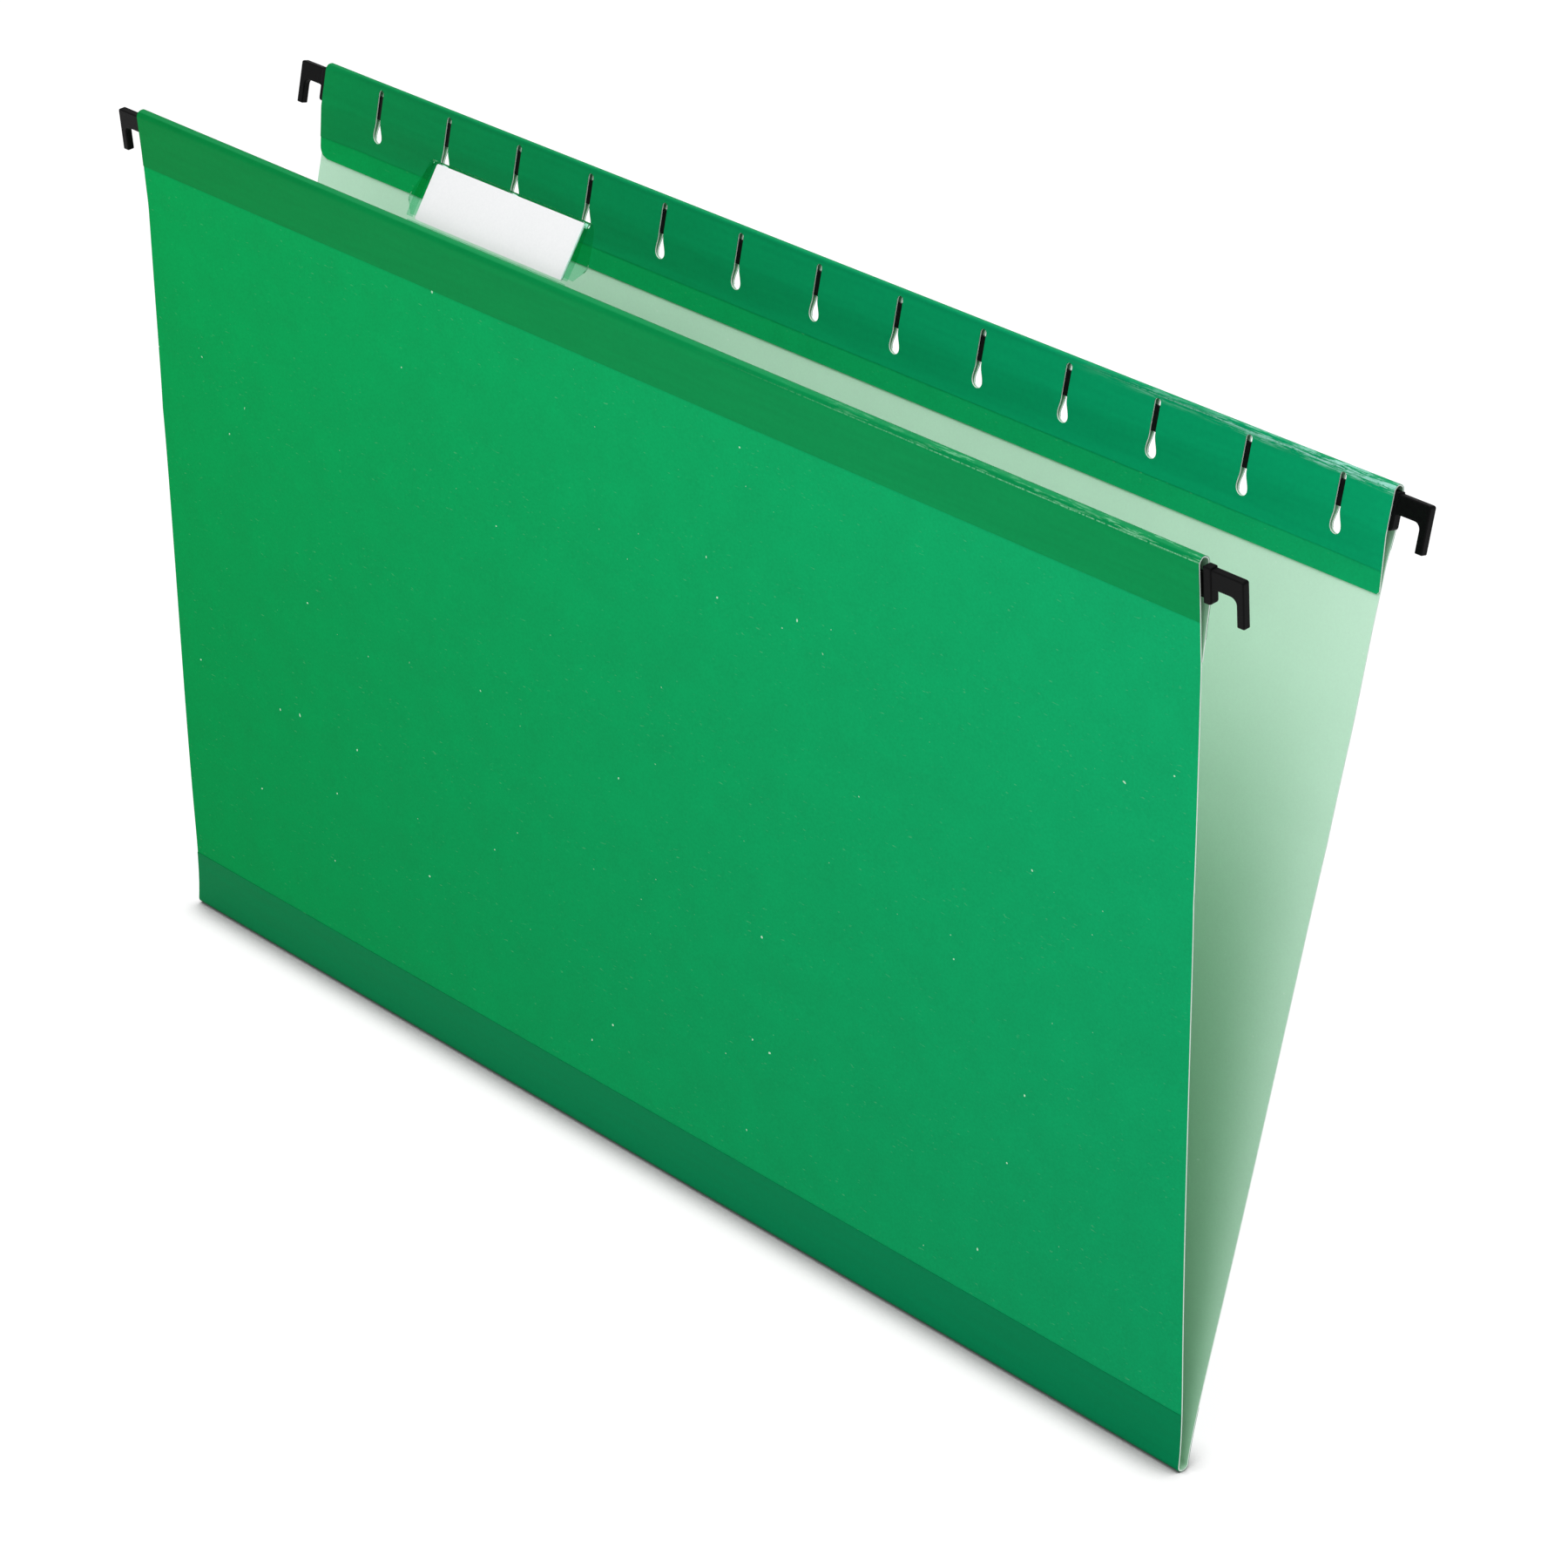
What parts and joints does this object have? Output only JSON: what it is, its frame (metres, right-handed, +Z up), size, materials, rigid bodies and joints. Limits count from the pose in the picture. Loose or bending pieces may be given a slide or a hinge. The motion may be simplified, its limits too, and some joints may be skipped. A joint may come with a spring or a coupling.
{
  "type": "hanging file folder",
  "caption": "Folded stock pocket that hangs by hooked rods from two parallel rails, with slotted top flaps and a tilting tinted label tab.",
  "frame": {"origin": "midway between the four hook seats, level with them, where the two rails carry the folder", "axes": "+X along the folder's top edge and the rods, +Y from the front half (the one with the tab) to the back half, +Z up"},
  "size_m": [0.3981, 0.0655, 0.2461],
  "materials": {
    "green_stock": "dyed fibre stock, matte, paler on its inner face",
    "top_film": "thin darker reinforcement film with a faint sheen",
    "bottom_film": "thin darker reinforcement film with a faint sheen",
    "glue": "dried adhesive",
    "black_steel": "black coated strip",
    "black_nylon": "moulded, satin black",
    "tinted_plastic": "clear green tinted sheet, glossy",
    "white_card": "plain white card"
  },
  "bodies": {
    "bottom_fold": {"bottom_fold": "green_stock", "bottom_fold_film": "bottom_film"},
    "front_half": {"front_panel": "green_stock", "front_flap": "green_stock", "front_top_film": "top_film", "front_bottom_film": "bottom_film", "front_glue_line": "glue", "tab_clip": "tinted_plastic"},
    "back_half": {"back_panel": "green_stock", "back_flap": "green_stock", "back_top_film": "top_film", "back_bottom_film": "bottom_film", "back_glue_line": "glue"},
    "front_rod": {"front_rod": "black_steel", "front_left_hook": "black_nylon", "front_right_hook": "black_nylon"},
    "back_rod": {"back_rod": "black_steel", "back_left_hook": "black_nylon", "back_right_hook": "black_nylon"},
    "label_tab": {"label_tab": "tinted_plastic"},
    "label_insert": {"label_insert": "white_card"}
  },
  "joints": [
    {"name": "front_crease", "type": "hinge", "parent": "bottom_fold", "child": "front_half", "pos_m": [0, -0.02018, -0.22419], "axis": [1, 0, 0], "range_deg": [-6.5, 87.4]},
    {"name": "back_crease", "type": "hinge", "parent": "bottom_fold", "child": "back_half", "pos_m": [0, -0.01688, -0.22419], "axis": [-1, 0, 0], "range_deg": [-5.78, 77.61]},
    {"name": "front_rod_slide", "type": "slide", "parent": "front_half", "child": "front_rod", "axis": [1, 0, 0], "range_m": [-0.0034, 0.0006]},
    {"name": "back_rod_slide", "type": "slide", "parent": "back_half", "child": "back_rod", "axis": [1, 0, 0], "range_m": [-0.0015, 0.0025]},
    {"name": "tab_tilt", "type": "hinge", "parent": "front_half", "child": "label_tab", "pos_m": [-0.0523, -0.02789, 0.00574], "axis": [1, 0, 0], "range_deg": [-8, 30]},
    {"name": "insert_slide", "type": "slide", "parent": "label_tab", "child": "label_insert", "axis": [1, 0, 0], "range_m": [0, 0.06]}
  ],
  "couplings": [
    {"joint": "back_crease", "follows": "front_crease", "ratio": 0.8879}
  ]
}
